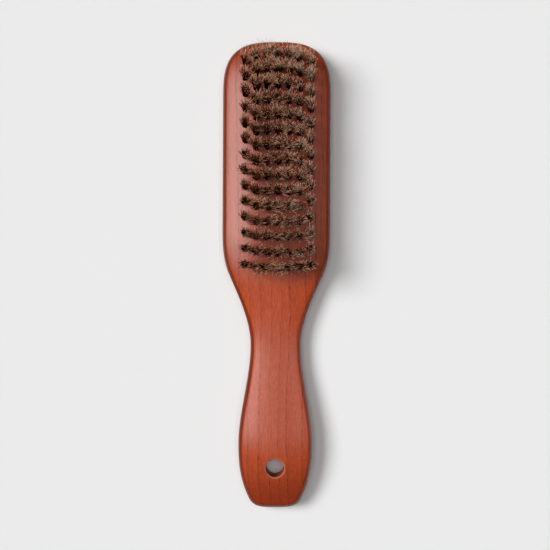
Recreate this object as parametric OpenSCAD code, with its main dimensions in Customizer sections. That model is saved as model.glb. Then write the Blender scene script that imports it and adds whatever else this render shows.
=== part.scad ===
// Wooden club brush with drilled bristle tufts, lying on its back with the bristles up.
// Millimetres. +Y runs along the brush to the head's tip, +Z out of the bristle face.
// The origin is on the surface it lies on, under the middle of the brush.

/* [Overall] */
// Length of the wooden body, tip to butt
brush_l = 221; // [216:1:229]

/* [Head] */
// Width of the head
head_w = 51; // [49:0.5:54]
// Thickness of the head at its centre line
head_t = 15; // [14.5:0.5:17]
// Length over which the tip rounds off
tip_depth = 26; // [22:0.5:28]
// Squareness of the tip, 2 for an ellipse
tip_power = 3; // [2.6:0.05:3.3]
// Start of the shoulder, above the middle of the brush
shoulder_y = 22.4; // [20:0.2:24]

/* [Handle] */
// Width of the neck
neck_w = 23.8; // [22.5:0.1:25]
// Thickness of the neck
neck_t = 11; // [10.5:0.1:12]
// Rise of the back at the neck
neck_rise = 1; // [0:0.1:1.5]
// Neck's place, below the middle of the brush
neck_y = -33.4; // [-35:0.2:-32]
// Widest part of the grip
grip_w = 34.8; // [33:0.1:36]
// Thickness of the grip
grip_t = 16; // [15:0.5:17]
// Grip's widest place, below the middle of the brush
grip_y = -80.2; // [-82:0.2:-78]
// Width where the corners of the butt begin
butt_w = 26.6; // [25:0.2:28]
// Thickness of the butt
butt_t = 10.8; // [10:0.1:12]
// Rise of the back at the butt
butt_rise = 1; // [0:0.1:1.5]
// Length of the butt's rounded corners
butt_depth = 6.5; // [6:0.5:8]

/* [Edges] */
// Radius of the edge round the bristle side
top_r = 2.6; // [2.2:0.1:3.4]
// Radius of the edge round the back
back_r = 4; // [3.5:0.1:4.1]
// Drop of the crowned face from its centre line to its edge, as a share of the half width
crown_share = 0.1; // [0.06:0.01:0.11]

/* [Hanging hole] */
// Diameter of the hole
hang_d = 8.5; // [6:0.5:10]
// Centre of the hole from the butt
hang_inset = 19.5; // [17:0.1:22]

/* [Bristles] */
// Diameter of a drilled tuft hole
tuft_d = 3; // [2.6:0.1:3.2]
// Depth of a tuft hole below the face
tuft_depth = 7; // [6:0.5:8]
// Length of bristle standing out of the face
bristle_out = 18; // [14:0.5:19]
// Spread of a tuft at its tip
tuft_tip_d = 4.7; // [4:0.1:4.9]
// Distance between the lengthwise columns
column_pitch = 5.15; // [5:0.05:5.2]
// Sideways shift of the whole field of tufts
field_shift = 0.7; // [0:0.1:1]
// Middle of the lowest tuft in the centre column
field_low_y = 3.3; // [2:0.1:5]
// Middle of the highest tuft in the centre column
field_high_y = 103.5; // [102:0.1:104]
// Rise of the outermost columns' lowest tuft
field_low_bow = 1.7; // [1:0.1:2.5]
// Drop of the outermost columns' highest tuft
field_high_bow = 3.7; // [3:0.1:4.5]

/* [Anchors] */
// Thickness of the flat wire
wire_t = 0.35; // [0.3:0.05:0.4]
// Height of the flat wire
wire_h = 1.8; // [1.6:0.1:2]
// Length of a cut piece of wire, more than the hole so that its ends bite
wire_l = 4.2; // [4:0.1:4.4]
// Turn of the wire about the hole, from straight across the brush
wire_turn = 35; // [0:5:60]

/* [Hidden] */
COLUMNS = 7;            // lengthwise columns of tufts
ROWS = 15;              // tufts in an inner column
OUTER_ROWS = ROWS - 1;  // tufts in each of the two outermost columns
$fn = 32;

half_l = brush_l / 2;
head_r = head_w / 2;
neck_r = neck_w / 2;
grip_r = grip_w / 2;
butt_r = butt_w / 2;
tip_start_y = half_l - tip_depth;      // the straight sides of the head end here
butt_start_y = butt_depth - half_l;    // the butt's corners begin here
butt_slope = 0.44;                     // taper of the sides as they meet the butt, per mm of length
butt_power = 4;                        // squareness of the butt's corners
shoulder_mid_y = 0;                    // steepest place of the shoulder
shoulder_mid_r = 22.2;                 // half width there
shoulder_slope = 0.44;                 // change of half width there, per mm of length
spine_high_y = half_l - head_r;        // ends of the line that the sections shrink towards
spine_low_y = butt_r - half_l;
hang_y = hang_inset - half_l;
wire_low = 0.9;                        // folded bristle left under the wire

function two_digits(n) = str(n < 10 ? "0" : "", n);

// Cubic curve from [y, value, slope] a to [y, value, slope] b
function ease(a, b, y) =
    let (span = b[0] - a[0], t = (y - a[0]) / span)
    a[1] * (2 * t ^ 3 - 3 * t ^ 2 + 1) + a[2] * span * (t ^ 3 - 2 * t ^ 2 + t)
    + b[1] * (3 * t ^ 2 - 2 * t ^ 3) + b[2] * span * (t ^ 3 - t ^ 2);

// Half width of the body between the tip's and the butt's rounding
function half_width(y) =
    y >= shoulder_y ? head_r
    : y >= shoulder_mid_y
        ? ease([shoulder_mid_y, shoulder_mid_r, shoulder_slope], [shoulder_y, head_r, 0], y)
    : y >= neck_y ? ease([neck_y, neck_r, 0], [shoulder_mid_y, shoulder_mid_r, shoulder_slope], y)
    : y >= grip_y ? ease([grip_y, grip_r, 0], [neck_y, neck_r, 0], y)
    : ease([butt_start_y, butt_r, butt_slope], [grip_y, grip_r, 0], y);

// Value that changes along the centre line, from its amounts at the head, neck, grip and butt
function along(y, head, neck, grip, butt) =
    y >= shoulder_y ? head
    : y >= neck_y ? ease([neck_y, neck, 0], [shoulder_y, head, 0], y)
    : y >= grip_y ? ease([grip_y, grip, 0], [neck_y, neck, 0], y)
    : ease([-half_l, butt, 1.4 * (grip - butt) / (half_l + grip_y)], [grip_y, grip, 0], y);
function back_z(y) = along(y, 0, neck_rise, 0, butt_rise);
function face_height(y) = along(y, head_t, neck_rise + neck_t, grip_t, butt_rise + butt_t);

// Right half of the outline, [x, y] from the tip to the butt
function tip_point(a) = [head_r * cos(a) ^ (2 / tip_power), tip_start_y + tip_depth * sin(a) ^ (2 / tip_power)];
function butt_point(a) =
    let (run = butt_depth * sin(a) ^ (2 / butt_power))
    [(butt_r - butt_slope * run) * cos(a) ^ (2 / butt_power), butt_start_y - run];
function side_points(from_y, to_y, count) =
    [for (i = [0 : count - 1]) let (y = from_y + (to_y - from_y) * i / count) [half_width(y), y]];
RIGHT = concat(
    [for (a = [90 : -9 : 1]) tip_point(a)],
    [[head_r, tip_start_y]],
    side_points(shoulder_y, neck_y, 14),
    side_points(neck_y, grip_y, 8),
    side_points(grip_y, butt_start_y, 5),
    [for (a = [0 : 15 : 90]) butt_point(a)]
);
OUTLINE = concat(RIGHT, [for (i = [len(RIGHT) - 2 : -1 : 1]) [-RIGHT[i][0], RIGHT[i][1]]]);

// The body is rings of points round the outline. Each ring shrinks towards a line along the
// body's middle, by a share of the way and by an inset in from the outline.
CROWN_SHARES = [0, 0.3, 0.6];
EDGE_STEPS = 4;
EDGE_TURNS = [for (i = [0 : EDGE_STEPS]) 90 * i / EDGE_STEPS];
function spine(p) = [0, min(max(p[1], spine_low_y), spine_high_y)];
function reach(p) = norm(p - spine(p));
function part_way(p, share) = spine(p) + (p - spine(p)) * share;
function crown_drop(p, share) =
    crown_share * (p[1] > shoulder_y ? head_r : half_width(max(p[1], butt_start_y))) * share ^ 2;
function face_point(p, share, edge_drop) =
    let (q = part_way(p, share)) [q[0], q[1], face_height(q[1]) - crown_drop(p, share) - edge_drop];
function crown_ring(share) = [for (p = OUTLINE) face_point(p, share, 0)];
function face_edge_ring(turn) =
    [for (p = OUTLINE) face_point(p, 1 - top_r * (1 - sin(turn)) / reach(p), top_r * (1 - cos(turn)))];
function back_edge_ring(turn) = [
    for (p = OUTLINE)
    let (q = part_way(p, 1 - back_r * (1 - cos(turn)) / reach(p)))
    [q[0], q[1], back_z(q[1]) + back_r * (1 - sin(turn))]
];
function back_ring(share) = [for (p = OUTLINE) let (q = part_way(p, share)) [q[0], q[1], back_z(q[1])]];
RINGS = concat(
    [for (share = CROWN_SHARES) crown_ring(share)],
    [for (turn = EDGE_TURNS) face_edge_ring(turn)],
    [for (turn = EDGE_TURNS) back_edge_ring(turn)],
    [back_ring(0)]
);
N = len(OUTLINE);

// Place of tuft r in column c
function columns_in(row) = row > OUTER_ROWS ? [1 : COLUMNS - 2] : [0 : COLUMNS - 1];
function rows_in(c) = c == 0 || c == COLUMNS - 1 ? OUTER_ROWS : ROWS;
function from_centre(c) = (2 * c - (COLUMNS - 1)) / (COLUMNS - 1);
function tuft_x(c) = field_shift + column_pitch * (c - (COLUMNS - 1) / 2);
function tuft_y(c, row) =
    let (
        low = field_low_y + field_low_bow * from_centre(c) ^ 2,
        high = field_high_y - field_high_bow * from_centre(c) ^ 2
    )
    low + (high - low) * (row - 1) / (rows_in(c) - 1);

// Height of the crowned face at a tuft; it falls to both sides, and also towards the tip
function face_z(x, y) =
    let (from_middle = norm([x, max(y - spine_high_y, 0)]))
    head_t - crown_share * from_middle ^ 2 / head_r;

module at_tufts(row) {
    for (c = columns_in(row))
        let (x = tuft_x(c), y = tuft_y(c, row))
        translate([x, y, face_z(x, y) - tuft_depth]) children();
}

// Body before drilling: the rings joined by triangles, and closed where the first and last shrink to a line
module blank() {
    function at(ring, i) = ring * N + i % N;
    sides = [for (k = [0 : len(RINGS) - 2], i = [0 : N - 1]) each [
        [at(k, i), at(k + 1, i + 1), at(k, i + 1)],
        [at(k, i), at(k + 1, i), at(k + 1, i + 1)]
    ]];
    polyhedron(points = [for (ring = RINGS) each ring], faces = sides);
}

// Piece of flat wire, standing across a tuft hole just above its floor
module wire() {
    translate([0, 0, wire_low + wire_h / 2])
        rotate([0, 0, wire_turn])
            cube([wire_l, wire_t, wire_h], center = true);
}

// Bundle of bristles, folded under its wire and spreading once it is out of the face
module tuft() {
    difference() {
        union() {
            cylinder(h = tuft_depth, d = tuft_d);
            translate([0, 0, tuft_depth]) cylinder(h = bristle_out, d1 = tuft_d, d2 = tuft_tip_d);
        }
        wire();
    }
}

module body() {
    color("#9c4a2c")
    difference() {
        blank();
        for (row = [1 : ROWS]) at_tufts(row) {
            cylinder(h = tuft_depth + 1, d = tuft_d);
            wire();
        }
        translate([0, hang_y, -1]) cylinder(h = grip_t + 2, d = hang_d);
    }
}

module tuft_row(row) {
    color("#4a3424")
    at_tufts(row) tuft();
}

module anchor_row(row) {
    color("#b8b4a8")
    at_tufts(row) wire();
}

body();
for (r = [1 : ROWS]) {
    tuft_row(r);
    anchor_row(r);
}
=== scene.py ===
import math

import bmesh
import bpy
import numpy as np
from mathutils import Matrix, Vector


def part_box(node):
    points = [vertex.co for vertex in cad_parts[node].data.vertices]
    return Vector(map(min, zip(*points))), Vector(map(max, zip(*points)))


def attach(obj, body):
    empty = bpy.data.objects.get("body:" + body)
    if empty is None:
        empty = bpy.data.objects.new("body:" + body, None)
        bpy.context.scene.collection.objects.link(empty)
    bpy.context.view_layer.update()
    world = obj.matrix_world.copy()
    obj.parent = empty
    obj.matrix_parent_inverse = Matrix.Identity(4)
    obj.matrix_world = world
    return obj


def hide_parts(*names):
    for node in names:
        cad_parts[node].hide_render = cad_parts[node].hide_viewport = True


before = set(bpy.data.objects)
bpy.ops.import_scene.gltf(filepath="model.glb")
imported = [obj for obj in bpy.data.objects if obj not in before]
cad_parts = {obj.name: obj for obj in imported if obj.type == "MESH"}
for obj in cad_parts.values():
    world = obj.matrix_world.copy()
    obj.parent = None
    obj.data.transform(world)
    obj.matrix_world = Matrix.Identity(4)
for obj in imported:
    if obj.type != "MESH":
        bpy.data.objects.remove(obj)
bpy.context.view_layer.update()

# Sizes are in millimetres unless a name says otherwise, and meshes are scaled to metres as they are made.
# X runs across the brush, Y along it from the butt to the tip, and Z up from the floor that its back lies on.
MM = 0.001
ROWS = 15
COLUMNS = 7

body_low, body_high = (np.array(corner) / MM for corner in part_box("body"))

# ---------------------------------------------------------------- the wooden body's form

# In these names R is a radius or half width, T a thickness, Y a place along the brush, RISE the height of the
# back above the floor, and SLOPE how fast the half width changes. DEPTH and POWER shape the two rounded ends,
# BUTT_FALL steepens the thinning to the butt, and the crown's height is CROWN_SHARE of the half width.
HALF_L = body_high[1]
HEAD_R = body_high[0]
HEAD_T = 15.0
TIP_DEPTH = 26.0
TIP_POWER = 3.0
SHOULDER_Y = 22.4
SHOULDER_MID_Y = 0.0
SHOULDER_MID_R = 22.2
SHOULDER_SLOPE = 0.44
NECK_Y = -33.4
NECK_R = 11.9
NECK_T = 11.0
NECK_RISE = 1.0
GRIP_Y = -80.2
GRIP_R = 17.4
GRIP_T = 16.0
BUTT_R = 13.3
BUTT_T = 10.8
BUTT_RISE = 1.0
BUTT_DEPTH = 6.5
BUTT_SLOPE = 0.44
BUTT_POWER = 4.0
BUTT_Y = BUTT_DEPTH - HALF_L
BUTT_FALL = 1.4
TOP_R = 2.6
BACK_R = 4.0
CROWN_SHARE = 0.1
SPINE_HIGH_Y = HALF_L - HEAD_R
SPINE_LOW_Y = BUTT_R - HALF_L

# The hanging hole, and the tuft holes with their wires, which lie WIRE_LOW above the holes' floors and are
# turned by WIRE_TURN from straight across the brush.
HANG_R = 4.25
HANG_Y = 19.5 - HALF_L
HANG_EDGE_R = 0.6
TUFT_R = 1.5
WIRE_LOW = 0.9
WIRE_TURN = math.radians(35)

# How finely the body is meshed, and the heights, clear of the wood, where the drills end.
OUTLINE_POINTS = 420
TIP_POINTS = 120
SIDE_POINTS = 400
FACE_RINGS = 15
EDGE_RINGS = 10
BACK_RINGS = 10
HOLE_SIDES = 64
HOLE_EDGE_RINGS = 6
DRILL_SIDES = 24
HOLE_FROM = -1.0
HOLE_TO = GRIP_T + 2
DRILL_TO = HEAD_T + 1
WELD = 0.001
SHARP_ANGLE = math.radians(40)


def ease(a, b, y):
    """Cubic curve from (y, value, slope) a to (y, value, slope) b."""
    span = b[0] - a[0]
    t = (y - a[0]) / span
    start = a[1] * (2 * t**3 - 3 * t**2 + 1) + a[2] * span * (t**3 - 2 * t**2 + t)
    return start + b[1] * (3 * t**2 - 2 * t**3) + b[2] * span * (t**3 - t**2)


def half_width(y):
    """Half width of the body between the rounding of its tip and of its butt."""
    knots = [
        (BUTT_Y, BUTT_R, BUTT_SLOPE),
        (GRIP_Y, GRIP_R, 0.0),
        (NECK_Y, NECK_R, 0.0),
        (SHOULDER_MID_Y, SHOULDER_MID_R, SHOULDER_SLOPE),
        (SHOULDER_Y, HEAD_R, 0.0),
    ]
    out = np.full_like(y, HEAD_R)
    for a, b in zip(knots, knots[1:]):
        out = np.where(y < b[0], np.where(y >= a[0], ease(a, b, y), out), out)
    return np.where(y < BUTT_Y, BUTT_R, out)


def along(y, head, neck, grip, butt):
    """A value that changes along the centre line, from its amounts at the head, neck, grip and butt."""
    fall = BUTT_FALL * (grip - butt) / (HALF_L + GRIP_Y)
    out = ease((-HALF_L, butt, fall), (GRIP_Y, grip, 0.0), y)
    out = np.where(y >= GRIP_Y, ease((GRIP_Y, grip, 0.0), (NECK_Y, neck, 0.0), y), out)
    out = np.where(y >= NECK_Y, ease((NECK_Y, neck, 0.0), (SHOULDER_Y, head, 0.0), y), out)
    return np.where(y >= SHOULDER_Y, head, out)


def face_height(y):
    return along(y, HEAD_T, NECK_RISE + NECK_T, GRIP_T, BUTT_RISE + BUTT_T)


def back_height(y):
    return along(y, 0.0, NECK_RISE, 0.0, BUTT_RISE)


def face_z(x, y):
    """Height of the crowned face at a place well inside the outline."""
    x, y = np.asarray(x, float), np.asarray(y, float)
    from_middle = np.hypot(x, np.maximum(y - SPINE_HIGH_Y, 0))
    return face_height(y) - CROWN_SHARE * from_middle**2 / half_width(y)


def outline():
    """Points round the body seen from above, evenly spaced, from the tip down the right side and back up."""
    turn = np.radians(np.linspace(90, 0, TIP_POINTS))
    cos, sin = np.clip(np.cos(turn), 0, 1), np.sin(turn)
    tip = np.column_stack([
        HEAD_R * cos ** (2 / TIP_POWER),
        HALF_L - TIP_DEPTH + TIP_DEPTH * sin ** (2 / TIP_POWER),
    ])
    side_y = np.linspace(SHOULDER_Y, BUTT_Y, SIDE_POINTS)
    side = np.column_stack([half_width(side_y), side_y])
    cos, sin = cos[::-1], sin[::-1]
    run = BUTT_DEPTH * sin ** (2 / BUTT_POWER)
    butt = np.column_stack([(BUTT_R - BUTT_SLOPE * run) * cos ** (2 / BUTT_POWER), BUTT_Y - run])
    right = np.vstack([tip, side, butt[1:]])
    right[0, 0] = right[-1, 0] = 0.0
    walked = np.r_[0, np.cumsum(np.linalg.norm(np.diff(right, axis=0), axis=1))]
    stops = np.linspace(0, walked[-1], OUTLINE_POINTS // 2 + 1)
    right = np.column_stack([np.interp(stops, walked, right[:, i]) for i in (0, 1)])
    left = right[-2:0:-1] * (-1, 1)
    return np.vstack([right, left])


def body_rings(edge):
    """Rings of points from the middle of the face, over its edge and round to the middle of the back."""
    spine = np.column_stack([np.zeros(len(edge)), np.clip(edge[:, 1], SPINE_LOW_Y, SPINE_HIGH_Y)])
    reach = np.linalg.norm(edge - spine, axis=1)
    crown = CROWN_SHARE * half_width(edge[:, 1])

    def ring(share, height):
        flat = spine + (edge - spine) * np.asarray(share)[:, None]
        return np.column_stack([flat, height(flat[:, 1])])

    def face(share, drop):
        return ring(share, lambda y: face_height(y) - crown * share**2 - drop)

    def back(share, rise):
        return ring(share, lambda y: back_height(y) + rise)

    rings = [face((1 - TOP_R / reach) * step, 0) for step in np.linspace(0, 1, FACE_RINGS)]
    for turn in np.radians(np.linspace(0, 90, EDGE_RINGS)[1:]):
        rings.append(face(1 - TOP_R * (1 - math.sin(turn)) / reach, TOP_R * (1 - math.cos(turn))))
    for turn in np.radians(np.linspace(0, 90, EDGE_RINGS)):
        rings.append(back(1 - BACK_R * (1 - math.cos(turn)) / reach, BACK_R * (1 - math.sin(turn))))
    rings += [back((1 - BACK_R / reach) * step, 0) for step in np.linspace(1, 0, BACK_RINGS)[1:]]
    return rings


def mesh_object(name, points, faces):
    """A smooth mesh object from points in millimetres."""
    mesh = bpy.data.meshes.new(name)
    mesh.from_pydata((np.asarray(points) * MM).tolist(), [], faces)
    mesh.shade_smooth()
    made = bpy.data.objects.new(name, mesh)
    bpy.context.scene.collection.objects.link(made)
    return made


def joined_rings(rings):
    """Points and quads of a tube through rings that all go round the same way."""
    count = len(rings[0])
    here = np.arange(count)
    ahead = (here + 1) % count
    strip = np.column_stack([here, ahead, count + ahead, count + here])
    quads = [k * count + strip for k in range(len(rings) - 1)]
    return np.vstack(rings), np.vstack(quads).tolist()


def tidy_mesh(mesh):
    """Joins points that coincide and turns every face outwards."""
    form = bmesh.new()
    form.from_mesh(mesh)
    bmesh.ops.remove_doubles(form, verts=form.verts, dist=WELD * MM)
    bmesh.ops.recalc_face_normals(form, faces=form.faces)
    form.to_mesh(mesh)
    form.free()


def circle(x, y, radius, height, sides):
    """A ring of points round a vertical axis; height is a number or one height a point."""
    turn = np.arange(sides) * 2 * math.pi / sides
    height = np.broadcast_to(height, sides)
    return np.column_stack([x + radius * np.cos(turn), y + radius * np.sin(turn), height])


def closed_tube(rings, first_point):
    """Points and faces of a tube with flat ends, for a mesh that already has first_point points."""
    points, quads = joined_rings(rings)
    count = len(rings[0])
    ends = [list(range(count)), list(range(len(points) - count, len(points)))]
    return points, [[i + first_point for i in face] for face in quads + ends]


def hanging_hole_rings():
    """Outline of the drill for the hanging hole, which also rounds the hole's two rims."""

    def ring(turn, height):
        radius = HANG_R + HANG_EDGE_R * (1 - math.sin(turn))
        return circle(0, HANG_Y, radius, height, HOLE_SIDES)

    rim = ring(0, 0)
    under = back_height(rim[:, 1])
    over = face_z(rim[:, 0], rim[:, 1])
    turns = np.radians(np.linspace(0, 90, HOLE_EDGE_RINGS))
    rings = [ring(0, HOLE_FROM)]
    rings += [ring(turn, under + HANG_EDGE_R * (1 - math.cos(turn))) for turn in turns]
    rings += [ring(turn, over - HANG_EDGE_R * (1 - math.cos(turn))) for turn in turns[::-1]]
    rings.append(ring(0, HOLE_TO))
    return rings


def cut(piece, cutter):
    """Takes cutter out of piece and removes it."""
    modifier = piece.modifiers.new("holes", "BOOLEAN")
    modifier.operation = "DIFFERENCE"
    modifier.solver = "MANIFOLD"
    modifier.object = cutter
    bpy.context.view_layer.update()
    result = piece.evaluated_get(bpy.context.evaluated_depsgraph_get())
    piece.data = bpy.data.meshes.new_from_object(result)
    piece.data.materials.clear()
    piece.modifiers.clear()
    bpy.data.objects.remove(cutter)


def wood_body(wires):
    """The shaped and drilled wooden body."""
    points, quads = joined_rings(body_rings(outline()))
    body = mesh_object("wooden_body", points, quads)
    tidy_mesh(body.data)
    points, faces = closed_tube(hanging_hole_rings(), 0)
    points = [points]
    for x, y, low, _ in wires:
        rings = [circle(x, y, TUFT_R, height, DRILL_SIDES) for height in (low - WIRE_LOW, DRILL_TO)]
        drill, more = closed_tube(rings, sum(len(part) for part in points))
        points.append(drill)
        faces += more
    drills = mesh_object("drills", np.vstack(points), faces)
    tidy_mesh(drills.data)
    cut(body, drills)
    body.data.shade_smooth()
    body.data.set_sharp_from_angle(angle=SHARP_ANGLE)
    return body


def anchor_wires(row):
    """Each anchor of a row as (x, y, low z, high z), from its CAD solids."""
    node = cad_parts[f"anchor_row_{row:02d}"]
    places = np.array([node.matrix_world @ v.co for v in node.data.vertices]) / MM
    places = places[np.argsort(places[:, 0])]
    # The row nearest the tip has no tuft in the two outermost columns.
    columns = COLUMNS - 2 if row == ROWS else COLUMNS
    found = []
    for solid in np.split(places, columns):
        low, high = solid.min(0), solid.max(0)
        found.append((*(low + high)[:2] / 2, low[2], high[2]))
    return found


# ---------------------------------------------------------------- bristles

# A tuft's bristles are each folded in half round its wire, and their free ends lean together in clumps.
SEED = 500
BRISTLES = 60
CLUMPS = 7

# One bristle: its length out of the wood and how much shorter it tends to be, its radius, how late it
# narrows, and the sides and free points of its mesh. ASIDE is a direction that no bristle points in.
BRISTLE_OUT = 18.0
BRISTLE_SHORTER = 1.2
BRISTLE_R = 0.105
BRISTLE_TIP_R = 0.07
NARROWING = 1.5
THICKNESS = (0.8, 1.3)
SIDES = 3
FREE_POINTS = 7
ASIDE = (0.3, 0.9, 0.1)

# In the hole: how far bristles spread along the wire, the radius they fill, how near they come to the middle
# of the wire, how high their folds are above the floor, and their points beside the wire and over it.
WIRE_REACH = 1.15
BUNDLE_R = 1.34
WIRE_GAP = 0.3
FOLD_LOW = 0.15
FOLD_SPAN = 0.6
BESIDE_WIRE = 0.2
OVER_WIRE = 0.4
OVER_WIRE_SHARE = 0.95

# How far the free ends spread, as (across the brush, along it). LEAN is a clump's and OWN_LEAN one bristle's,
# FLARE multiplies a root's place in its tuft, and TIP_LEAN multiplies the tuft's place on the brush.
LEAN = (1.8, 0.9)
OWN_LEAN = (0.6, 0.35)
FLARE = (1.2, 0.6)
TIP_LEAN = (-0.05, 0.010)
STRAY_SHARE = 0.1
STRAY_LEAN = 1.0

# The outermost columns spread less sideways, by this share.
OUTER_X = 15.5
OUTER_CALM = 0.45

# How bristles curve as they lean, and the size and the turning of their slight waves.
BEND = (0.4, 0.9)
WAVE = 0.14
WAVE_TURN = 5

# Shades: the more a bristle leans, across or along, the paler it is painted, up to a limit, as a painted
# highlight on its side, and it is paler by its own chance too. The palest are commoner to the right of FAIR_X
# and beyond FAIR_Y, near the tip of the head, as painted highlights there.
LEAN_SHOWS = (0.6, 1.1)
LEAN_PAINTED_HIGHLIGHT = 0.175
LEAN_PAINTED_HIGHLIGHT_MOST = 0.65
OWN_TONE = 0.35
FAIR_X = 2.0
FAIR_SIDE_PAINTED_HIGHLIGHT = 0.026
FAIR_Y = 92.0
FAIR_TIP_PAINTED_HIGHLIGHT = 0.035


def bristle_paths(draw, wire):
    """Centre lines of one tuft's bristles, from tip to tip, and how far along its free length each point is.

    Each bristle goes down one side of the wire, under it and up the other side. Outside the hole the
    bristles lean together in a few clumps, and some stray.
    """
    x, y, low, high = wire
    floor, face = low - WIRE_LOW, float(face_z(x, y))
    cos, sin = math.cos(WIRE_TURN), math.sin(WIRE_TURN)
    along_wire = WIRE_REACH * draw.uniform(-1, 1, BRISTLES)
    room = np.sqrt(BUNDLE_R**2 - along_wire**2)
    lean = draw.normal(0, LEAN, (CLUMPS, 2))
    calm = (1 - OUTER_CALM * (x / OUTER_X) ** 4, 1)

    def inside(across, height):
        """Points in the hole, from their places beside the wire."""
        flat = np.column_stack([along_wire * cos - across * sin, along_wire * sin + across * cos])
        return np.column_stack([flat + (x, y), np.broadcast_to(height, BRISTLES)])

    fold = inside(np.zeros(BRISTLES), floor + FOLD_LOW + FOLD_SPAN * draw.random(BRISTLES))
    legs = []
    for side in (-1, 1):
        across = side * (WIRE_GAP + (room - WIRE_GAP) * draw.random(BRISTLES))
        root = inside(across, face)
        spread = (root[:, :2] - (x, y)) * FLARE
        spread = spread + lean[draw.integers(0, CLUMPS, BRISTLES)] + draw.normal(0, OWN_LEAN, (BRISTLES, 2))
        stray = (draw.random(BRISTLES) < STRAY_SHARE)[:, None]
        spread = spread + stray * draw.normal(0, STRAY_LEAN, (BRISTLES, 2))
        spread = spread * calm + np.multiply(TIP_LEAN, (x, y))
        length = BRISTLE_OUT - np.abs(draw.normal(0, BRISTLE_SHORTER, BRISTLES))
        bend = draw.uniform(*BEND, (BRISTLES, 1))
        wave = draw.normal(0, WAVE, (BRISTLES, 2))
        phase = draw.uniform(0, math.pi, (BRISTLES, 1))
        beside = inside(across, low + BESIDE_WIRE)
        over = inside(across * OVER_WIRE_SHARE, high + OVER_WIRE)
        leg = [beside, over, root]
        for share in np.linspace(0, 1, FREE_POINTS + 1)[1:]:
            flat = root[:, :2] + spread * ((1 - bend) * share + bend * share**2)
            flat = flat + wave * np.sin(share * WAVE_TURN + phase) * share
            leg.append(np.column_stack([flat, face + length * share]))
        legs.append(leg)
    path = np.stack([*legs[0][::-1], fold, *legs[1]], axis=1)
    out = np.clip((path[..., 2] - face) / BRISTLE_OUT, 0, 1)
    return path, out


def swept(paths, radii):
    """Tubes along paths: points as (path, place, side, xyz)."""
    heading = np.gradient(paths, axis=1)
    heading /= np.linalg.norm(heading, axis=2, keepdims=True)
    across = np.cross(heading, ASIDE)
    across /= np.linalg.norm(across, axis=2, keepdims=True)
    other = np.cross(heading, across)
    turn = np.arange(SIDES) * 2 * math.pi / SIDES
    ring = across[:, :, None] * np.cos(turn)[:, None] + other[:, :, None] * np.sin(turn)[:, None]
    return paths[:, :, None] + ring * radii[:, :, None, None]


def tube_faces(tubes, places):
    """Quads of many tubes of the same length, and their two ends."""
    start = (np.arange(tubes) * places * SIDES)[:, None, None]
    place = (np.arange(places - 1) * SIDES)[None, :, None]
    side = np.arange(SIDES)
    here = start + place + side
    ahead = start + place + (side + 1) % SIDES
    quads = np.stack([here, ahead, ahead + SIDES, here + SIDES], axis=-1).reshape(-1, 4)
    last = (places - 1) * SIDES
    low_end = start[:, 0] + side[::-1]
    high_end = start[:, 0] + last + side
    return quads.tolist() + low_end.tolist() + high_end.tolist()


def bristle_row(row, wires, material):
    """All the tufts of one cross row. Its material reads each point's place, tone and fairness, and the tone
    and fairness both carry a painted highlight.
    """
    draw = np.random.default_rng(SEED + row)
    made = [bristle_paths(draw, wire) for wire in wires]
    paths = np.concatenate([path for path, _ in made])
    out = np.concatenate([share for _, share in made])
    count, places = out.shape
    thickness = draw.uniform(*THICKNESS, (count, 1))
    radii = (BRISTLE_R + (BRISTLE_TIP_R - BRISTLE_R) * out**NARROWING) * thickness
    points = swept(paths, radii).reshape(-1, 3)
    piece = mesh_object(f"bristles_row_{row:02d}", points, tube_faces(count, places))

    # Painted highlight: bristles that lean more, and more of those to the right and near the tip, are painted
    # paler.
    tips = paths[:, [0, -1], :2]
    fold = paths[:, places // 2, None, :2]
    lean = np.linalg.norm((tips - fold) * LEAN_SHOWS, axis=2).mean(1, keepdims=True)
    tone_and_painted_highlight = np.clip(LEAN_PAINTED_HIGHLIGHT * lean, 0, LEAN_PAINTED_HIGHLIGHT_MOST) + OWN_TONE * draw.random((count, 1))
    fairness_and_painted_highlight = draw.random((count, 1)) + FAIR_SIDE_PAINTED_HIGHLIGHT * (tips[:, :1, 0] - FAIR_X)
    fairness_and_painted_highlight = fairness_and_painted_highlight + FAIR_TIP_PAINTED_HIGHLIGHT * np.maximum(tips[:, :1, 1] - FAIR_Y, 0)
    values = np.stack(np.broadcast_arrays(out, tone_and_painted_highlight, fairness_and_painted_highlight), axis=-1)
    values = np.repeat(values.reshape(-1, 3), SIDES, axis=0)
    look = piece.data.attributes.new("bristle", "FLOAT_VECTOR", "POINT")
    look.data.foreach_set("vector", values.astype(np.float32).ravel())
    piece.data.materials.append(material)
    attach(piece, "root")
    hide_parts(f"tuft_row_{row:02d}")


# ---------------------------------------------------------------- materials


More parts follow.
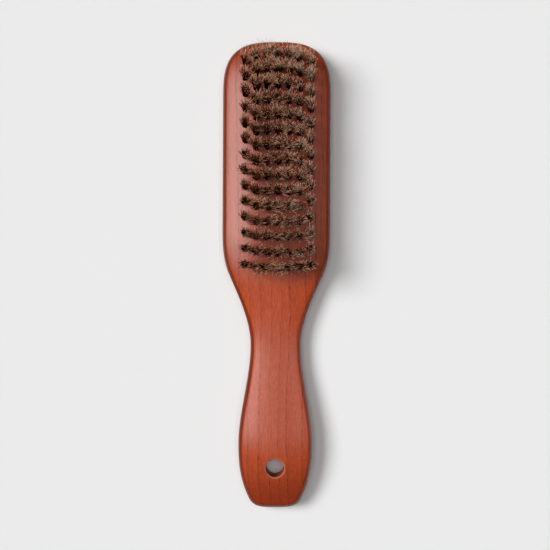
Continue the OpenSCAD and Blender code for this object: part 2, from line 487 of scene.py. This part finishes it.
class Shader:
    """A material's nodes, added and joined with short calls."""

    def __init__(self, name):
        self.material = bpy.data.materials.new(name)
        self.material.use_nodes = True
        self.tree = self.material.node_tree
        self.surface = self.tree.nodes["Principled BSDF"]

    def put(self, socket, value):
        if isinstance(value, bpy.types.NodeSocket):
            self.tree.links.new(value, socket)
        else:
            socket.default_value = value

    def node(self, kind, inputs, **settings):
        made = self.tree.nodes.new("ShaderNode" + kind)
        for name, value in settings.items():
            setattr(made, name, value)
        for name, value in inputs.items():
            self.put(made.inputs[name], value)
        return made

    def math(self, operation, a, b=0.0, clamp=False):
        return self.node("Math", {0: a, 1: b}, operation=operation, use_clamp=clamp).outputs[0]

    def scaled(self, vector, by):
        return self.node("VectorMath", {0: vector, 1: by}, operation="MULTIPLY").outputs[0]

    def noise(self, place, cycles, detail=2.0):
        """Noise from 0 to 1, with so many cycles for each unit of place in X, Y and Z."""
        inputs = {"Vector": self.scaled(place, cycles), "Scale": 1.0, "Detail": detail}
        return self.node("TexNoise", inputs).outputs["Fac"]

    def remap(self, value, low, high, to_low=0.0, to_high=1.0):
        inputs = {"Value": value, "From Min": low, "From Max": high, "To Min": to_low, "To Max": to_high}
        return self.node("MapRange", inputs, interpolation_type="SMOOTHSTEP").outputs[0]

    def mix(self, share, a, b):
        made = self.node("Mix", {0: share}, data_type="RGBA")
        for socket, value in ((made.inputs[6], a), (made.inputs[7], b)):
            self.put(socket, value if isinstance(value, bpy.types.NodeSocket) else (*value, 1.0))
        return made.outputs[2]

    def ramp(self, value, stops):
        """Colours for values from 0 to 1, from stops in rising order."""
        made = self.node("ValToRGB", {0: value})
        elements = made.color_ramp.elements
        for place, _ in stops[1:-1]:
            elements.new(place)
        for element, (place, colour) in zip(elements, stops):
            element.position = place
            element.color = (*colour, 1.0)
        return made.outputs["Color"]

    def finish(self, **inputs):
        for name, value in inputs.items():
            self.put(self.surface.inputs[name.replace("_", " ").title().replace("Ior", "IOR")], value)
        return self.material


# Colours of the grain, then of the painted shade, the darkening, and the rim's wear and painted highlight
# over it.
WOOD_DEEP = (0.34, 0.042, 0.0112)
WOOD_BRIGHT = (0.45, 0.070, 0.018)
WOOD_CLOUD = (0.29, 0.032, 0.009)
WOOD_LATE = (0.48, 0.080, 0.0205)
WOOD_PALE_FLECK = (0.56, 0.115, 0.034)
WOOD_PORE = (0.11, 0.013, 0.004)
# Painted shade for the edges and the butt, a darkening of the head, and the rim's colour, partly wear and
# partly a painted highlight.
EDGE_PAINTED_SHADE = (0.030, 0.004, 0.002)
HEAD_DARKENING = (0.06, 0.010, 0.005)
BUTT_PAINTED_SHADE = (0.17, 0.018, 0.006)
RIM_WEAR_AND_HIGHLIGHT = (0.62, 0.33, 0.18)

# Growth rings: the width of one, how far they tilt with height, and how far they stray sideways.
RING_WIDTH = 5.2
RING_TILT = 0.35
WANDER = 7.0
RIPPLE = 1.4
UNEVEN = 9.0

# Where the neck turns into the head, for the darkening and gloss that change there.
HEAD_START = (-8.0, 8.0)


def wood_grain(shader, place, parts):
    """Colour of the grain, and how dark its pores and flecks are. Noise is in cycles per millimetre."""
    # Growth rings as sheets along the brush, uneven in width, with pores in their early wood.
    wander = shader.noise(place, (0.02, 0.011, 0.03))
    ripple = shader.noise(place, (0.08, 0.045, 0.08))
    across = parts["X"]
    for shift, amount in ((parts["Z"], RING_TILT), (wander, WANDER), (ripple, RIPPLE)):
        across = shader.math("ADD", across, shader.math("MULTIPLY", shift, amount))
    sheet = shader.node("CombineXYZ", {"X": across}).outputs[0]
    uneven = shader.math("MULTIPLY", shader.noise(sheet, (0.11, 0.0, 0.0), detail=1.0), UNEVEN)
    ring = shader.math("FRACT", shader.math("DIVIDE", shader.math("ADD", across, uneven), RING_WIDTH))
    early = shader.remap(ring, 0.19, 0.02)
    late = shader.remap(ring, 0.2, 1.0)
    pores = shader.remap(shader.noise(place, (4.2, 0.26, 4.2), detail=1.0), 0.46, 0.68)
    flecks = shader.remap(shader.noise(place, (5.5, 0.42, 5.5), detail=1.0), 0.6, 0.74)

    # Fibres, clouds of colour, paler late wood and pale flecks, and then the dark lines of pores.
    fibre = shader.noise(place, (3.0, 0.05, 3.0), detail=3.0)
    clouds = shader.noise(place, (0.05, 0.018, 0.05))
    pale = shader.noise(place, (2.4, 0.55, 2.4), detail=1.0)
    colour = shader.mix(shader.remap(fibre, 0.3, 0.7), WOOD_DEEP, WOOD_BRIGHT)
    colour = shader.mix(shader.remap(clouds, 0.35, 0.7, 0.0, 0.35), colour, WOOD_CLOUD)
    colour = shader.mix(shader.math("MULTIPLY", late, 0.22), colour, WOOD_LATE)
    colour = shader.mix(shader.remap(pale, 0.6, 0.72, 0.0, 0.4), colour, WOOD_PALE_FLECK)
    line = shader.math("MULTIPLY", early, shader.remap(pores, 0.0, 1.0, 0.12, 0.95))
    dark = shader.math("ADD", line, shader.math("MULTIPLY", flecks, 0.25), clamp=True)
    return shader.mix(dark, colour, WOOD_PORE), dark


def with_painted_shade(shader, colour, parts, from_hole, outside):
    """The grain's colour with painted shade on the edges and towards the butt, the head darker overall, and
    the hanging hole's rim paler, partly worn and partly a painted highlight.
    """
    normal = shader.node("NewGeometry", {}).outputs["Normal"]
    facing = shader.node("SeparateXYZ", {0: normal}).outputs["Z"]
    # Painted shade: the rounded edges and sides darken as the surface turns away from up, more on the left
    # edge than on the right.
    edge_shade_depth = shader.remap(parts["X"], -14.0, 14.0, 0.7, 0.1)
    edge = shader.remap(shader.math("ABSOLUTE", facing), 0.94, 0.76, 0.0, edge_shade_depth)
    colour = shader.mix(shader.math("MULTIPLY", edge, outside), colour, EDGE_PAINTED_SHADE)
    # The head is made darker overall.
    colour = shader.mix(shader.remap(parts["Y"], *HEAD_START, 0.0, 0.20), colour, HEAD_DARKENING)
    # Painted shade: darker towards the butt, where the face turns away from the light.
    colour = shader.mix(shader.remap(parts["Y"], -84.0, -106.0, 0.0, 0.6), colour, BUTT_PAINTED_SHADE)
    # The hanging hole's rim is paler where it turns upwards, partly wear and partly a painted highlight.
    rim = shader.remap(from_hole, HANG_R + 0.6, HANG_R + 0.3)
    rim = shader.math("MULTIPLY", rim, shader.remap(facing, 0.1, 0.5))
    return shader.mix(shader.math("MULTIPLY", rim, 0.4), colour, RIM_WEAR_AND_HIGHLIGHT)


def lacquer_gloss(shader, parts, outside):
    """Strength of the lacquer's gloss, which is fullest on the left of the head and dullest on the neck."""
    grip = shader.remap(parts["Y"], -12.0, -38.0, 0.0, 0.45)
    head = shader.remap(parts["Y"], *HEAD_START, 0.2, 1.0)
    gloss = shader.math("MULTIPLY", shader.math("ADD", grip, head, clamp=True), outside)
    dull = shader.remap(parts["X"], -13.0, -3.0, 0.0, 0.7)
    dull = shader.math("MULTIPLY", dull, shader.remap(parts["Y"], *HEAD_START))
    return shader.math("MULTIPLY", gloss, shader.math("SUBTRACT", 1.0, dull))


def wood_material():
    """Red-brown stained, ring-porous wood under satin lacquer. Its grain runs along the brush."""
    shader = Shader("red_brown_lacquered_wood")
    place = shader.scaled(shader.node("TexCoord", {}).outputs["Object"], (1 / MM, 1 / MM, 1 / MM))
    parts = shader.node("SeparateXYZ", {0: place}).outputs
    flat = shader.scaled(place, (1, 1, 0))
    apart = shader.node("VectorMath", {0: flat, 1: (0.0, HANG_Y, 0.0)}, operation="DISTANCE")
    from_hole = apart.outputs["Value"]
    outside = shader.remap(from_hole, HANG_R + 0.1, HANG_R + 0.5)
    colour, dark = wood_grain(shader, place, parts)
    relief = {"Strength": 0.25, "Distance": 0.1 * MM, "Height": shader.math("SUBTRACT", 1.0, dark)}
    return shader.finish(
        base_color=with_painted_shade(shader, colour, parts, from_hole, outside),
        roughness=shader.remap(dark, 0.0, 1.0, 0.45, 0.6),
        normal=shader.node("Bump", relief).outputs[0],
        specular_ior_level=0.05,
        coat_weight=lacquer_gloss(shader, parts, outside),
        coat_roughness=0.25,
    )


# Shades from root to tip, of most bristles and of the palest, and the fairness where one gives way to the
# other. A bristle's tone, its own chance plus a painted highlight from its lean, moves it along
# BRISTLE_SHADES by up to half of TONE_SHIFT either way.
BRISTLE_SHADES = (
    (0.0, (0.026, 0.0025, 0.001)),
    (0.5, (0.056, 0.005, 0.001)),
    (0.79, (0.115, 0.021, 0.006)),
    (0.91, (0.26, 0.096, 0.042)),
    (1.0, (0.74, 0.42, 0.27)),
)
FAIR_SHADES = (
    (0.0, (0.08, 0.03, 0.015)),
    (0.5, (0.32, 0.13, 0.06)),
    (1.0, (0.94, 0.72, 0.56)),
)
FAIR_FROM = (0.92, 0.96)
TONE_SHIFT = 0.8


def bristle_material():
    """Natural bristle: most are nearly black at the root and tan at the tip, and a few are pale. Leaning
    bristles, and more of those to the right and near the tip, are painted paler as a painted highlight.
    """
    shader = Shader("natural_bristle")
    look = shader.node("Attribute", {}, attribute_name="bristle").outputs["Vector"]
    out, tone_and_painted_highlight, fairness_and_painted_highlight = shader.node("SeparateXYZ", {0: look}).outputs
    # The tone carries a painted highlight on leaning bristles.
    shift = shader.math("MULTIPLY", shader.math("SUBTRACT", tone_and_painted_highlight, 0.5), TONE_SHIFT)
    dark = shader.ramp(shader.math("ADD", out, shift, clamp=True), BRISTLE_SHADES)
    fair = shader.ramp(out, FAIR_SHADES)
    # Fairness carries painted highlights towards the right side and the tip.
    colour = shader.mix(shader.remap(fairness_and_painted_highlight, *FAIR_FROM), dark, fair)
    return shader.finish(base_color=colour, roughness=0.5, specular_ior_level=0.0)


def wire_material():
    """Drawn steel wire, with fine lengthwise scratches."""
    shader = Shader("drawn_steel_wire")
    place = shader.node("TexCoord", {}).outputs["Object"]
    scratches = shader.noise(place, (900, 900, 9000), detail=3.0)
    colour = shader.mix(scratches, (0.50, 0.48, 0.44), (0.72, 0.70, 0.66))
    roughness = shader.remap(scratches, 0.3, 0.7, 0.25, 0.45)
    return shader.finish(base_color=colour, metallic=1.0, roughness=roughness)


def floor_material():
    """Plain pale paper."""
    shader = Shader("pale_floor")
    return shader.finish(base_color=(0.80, 0.80, 0.80, 1.0), roughness=0.9)


# ---------------------------------------------------------------- studio

# Half the side of the square floor.
FLOOR_HALF = 4000.0

# The key light's strength, apparent size in degrees, and direction.
KEY_ENERGY = 2.72
KEY_SIZE = 27
KEY_FROM = (-0.74, 0.2, 1.0)

# Metres from the floor to the light panels.
PANEL_HEIGHT = 1.5

# Brightness of the surroundings: in reflections, as light on matt surfaces, and as the camera sees it.
SURROUND_SHINE = 0.02
SURROUND_LIGHT = 0.04
SURROUND_SEEN = 0.84

# The camera: its sensor's width, its distance from a level through the brush, the width seen at that level,
# its place across the brush and its turn in degrees.
SENSOR_WIDTH = 36.0
CAMERA_DISTANCE = 607.0
CAMERA_LEVEL = 7.25
CAMERA_SEES = 262.2
CAMERA_X = -0.45
CAMERA_TURN = 0.27


def lamp(name, kind, **settings):
    light = bpy.data.lights.new(name, kind)
    for key, value in settings.items():
        setattr(light, key, value)
    made = bpy.data.objects.new(name, light)
    bpy.context.scene.collection.objects.link(made)
    return made


def key_light():
    """A large distant light from the left, which leaves sheen to the panels."""
    key = lamp("key", "SUN", energy=KEY_ENERGY, angle=math.radians(KEY_SIZE))
    x, y, z = KEY_FROM
    key.location = KEY_FROM
    key.rotation_euler = (math.atan2(math.hypot(x, y), z), 0.0, math.atan2(x, -y))
    key.visible_glossy = False


def panel(name, sideways, upwards, brightness, sheen):
    """Soft light over a range of angles, in degrees from overhead, giving either sheen or plain light."""
    low = PANEL_HEIGHT * np.tan(np.radians([sideways[0], upwards[0]]))
    high = PANEL_HEIGHT * np.tan(np.radians([sideways[1], upwards[1]]))
    width, depth = high - low
    energy = brightness * math.pi * width * depth
    light = lamp(name, "AREA", shape="RECTANGLE", size=width, size_y=depth, energy=energy)
    light.location = (*(low + high) / 2, PANEL_HEIGHT)
    light.visible_diffuse = not sheen
    light.visible_glossy = sheen


def surroundings():
    """A little light all round, and a pale background."""
    world = bpy.data.worlds.new("studio")
    world.use_nodes = True
    nodes, links = world.node_tree.nodes, world.node_tree.links
    surround = nodes["Background"]
    surround.inputs["Color"].default_value = (1, 1, 1, 1)
    ray = nodes.new("ShaderNodeLightPath").outputs
    light = nodes.new("ShaderNodeMapRange")
    light.inputs["To Min"].default_value = SURROUND_SHINE
    light.inputs["To Max"].default_value = SURROUND_LIGHT
    links.new(ray["Is Diffuse Ray"], light.inputs["Value"])
    seen = nodes.new("ShaderNodeMapRange")
    seen.inputs["To Max"].default_value = SURROUND_SEEN
    links.new(ray["Is Camera Ray"], seen.inputs["Value"])
    links.new(light.outputs[0], seen.inputs["To Min"])
    links.new(seen.outputs[0], surround.inputs["Strength"])
    bpy.context.scene.world = world


def studio():
    """Pale floor, a large key from the left, light panels overhead and a little light all round."""
    corners = [(-1, -1), (1, -1), (1, 1), (-1, 1)]
    corners = [(FLOOR_HALF * x, FLOOR_HALF * y, 0) for x, y in corners]
    floor = mesh_object("floor", corners, [(0, 1, 2, 3)])
    floor.data.materials.append(floor_material())
    key_light()
    panel("overhead", (-14, 14), (-14, 14), 4.3, sheen=False)
    panel("left_sheen", (-26, -11), (-4, 17), 7.5, sheen=True)
    panel("top_sheen", (-26, 19), (-8, 17), 4.0, sheen=True)
    panel("left_edge_sheen", (-50, -29), (-8, 17), 3.0, sheen=True)
    panel("right_edge_sheen", (28, 50), (-8, 17), 2.5, sheen=True)
    surroundings()
    bpy.context.scene.view_settings.view_transform = "Standard"


def camera():
    """Straight above the middle of the brush, with the head up, turned a quarter of a degree."""
    lens = bpy.data.cameras.new("camera")
    lens.sensor_width = SENSOR_WIDTH
    lens.lens = SENSOR_WIDTH * CAMERA_DISTANCE / CAMERA_SEES
    made = bpy.data.objects.new("camera", lens)
    made.location = (CAMERA_X * MM, 0.0, (CAMERA_DISTANCE + CAMERA_LEVEL) * MM)
    made.rotation_euler = (0.0, 0.0, math.radians(CAMERA_TURN))
    bpy.context.scene.collection.objects.link(made)
    bpy.context.scene.camera = made


# ---------------------------------------------------------------- the brush

camera()
studio()

rows = {row: anchor_wires(row) for row in range(1, ROWS + 1)}
body = wood_body([wire for wires in rows.values() for wire in wires])
body.data.materials.append(wood_material())
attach(body, "root")
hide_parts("body")

bristle_look = bristle_material()
wire_look = wire_material()
for row, wires in rows.items():
    bristle_row(row, wires, bristle_look)
    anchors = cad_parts[f"anchor_row_{row:02d}"]
    anchors.data.materials.clear()
    anchors.data.materials.append(wire_look)
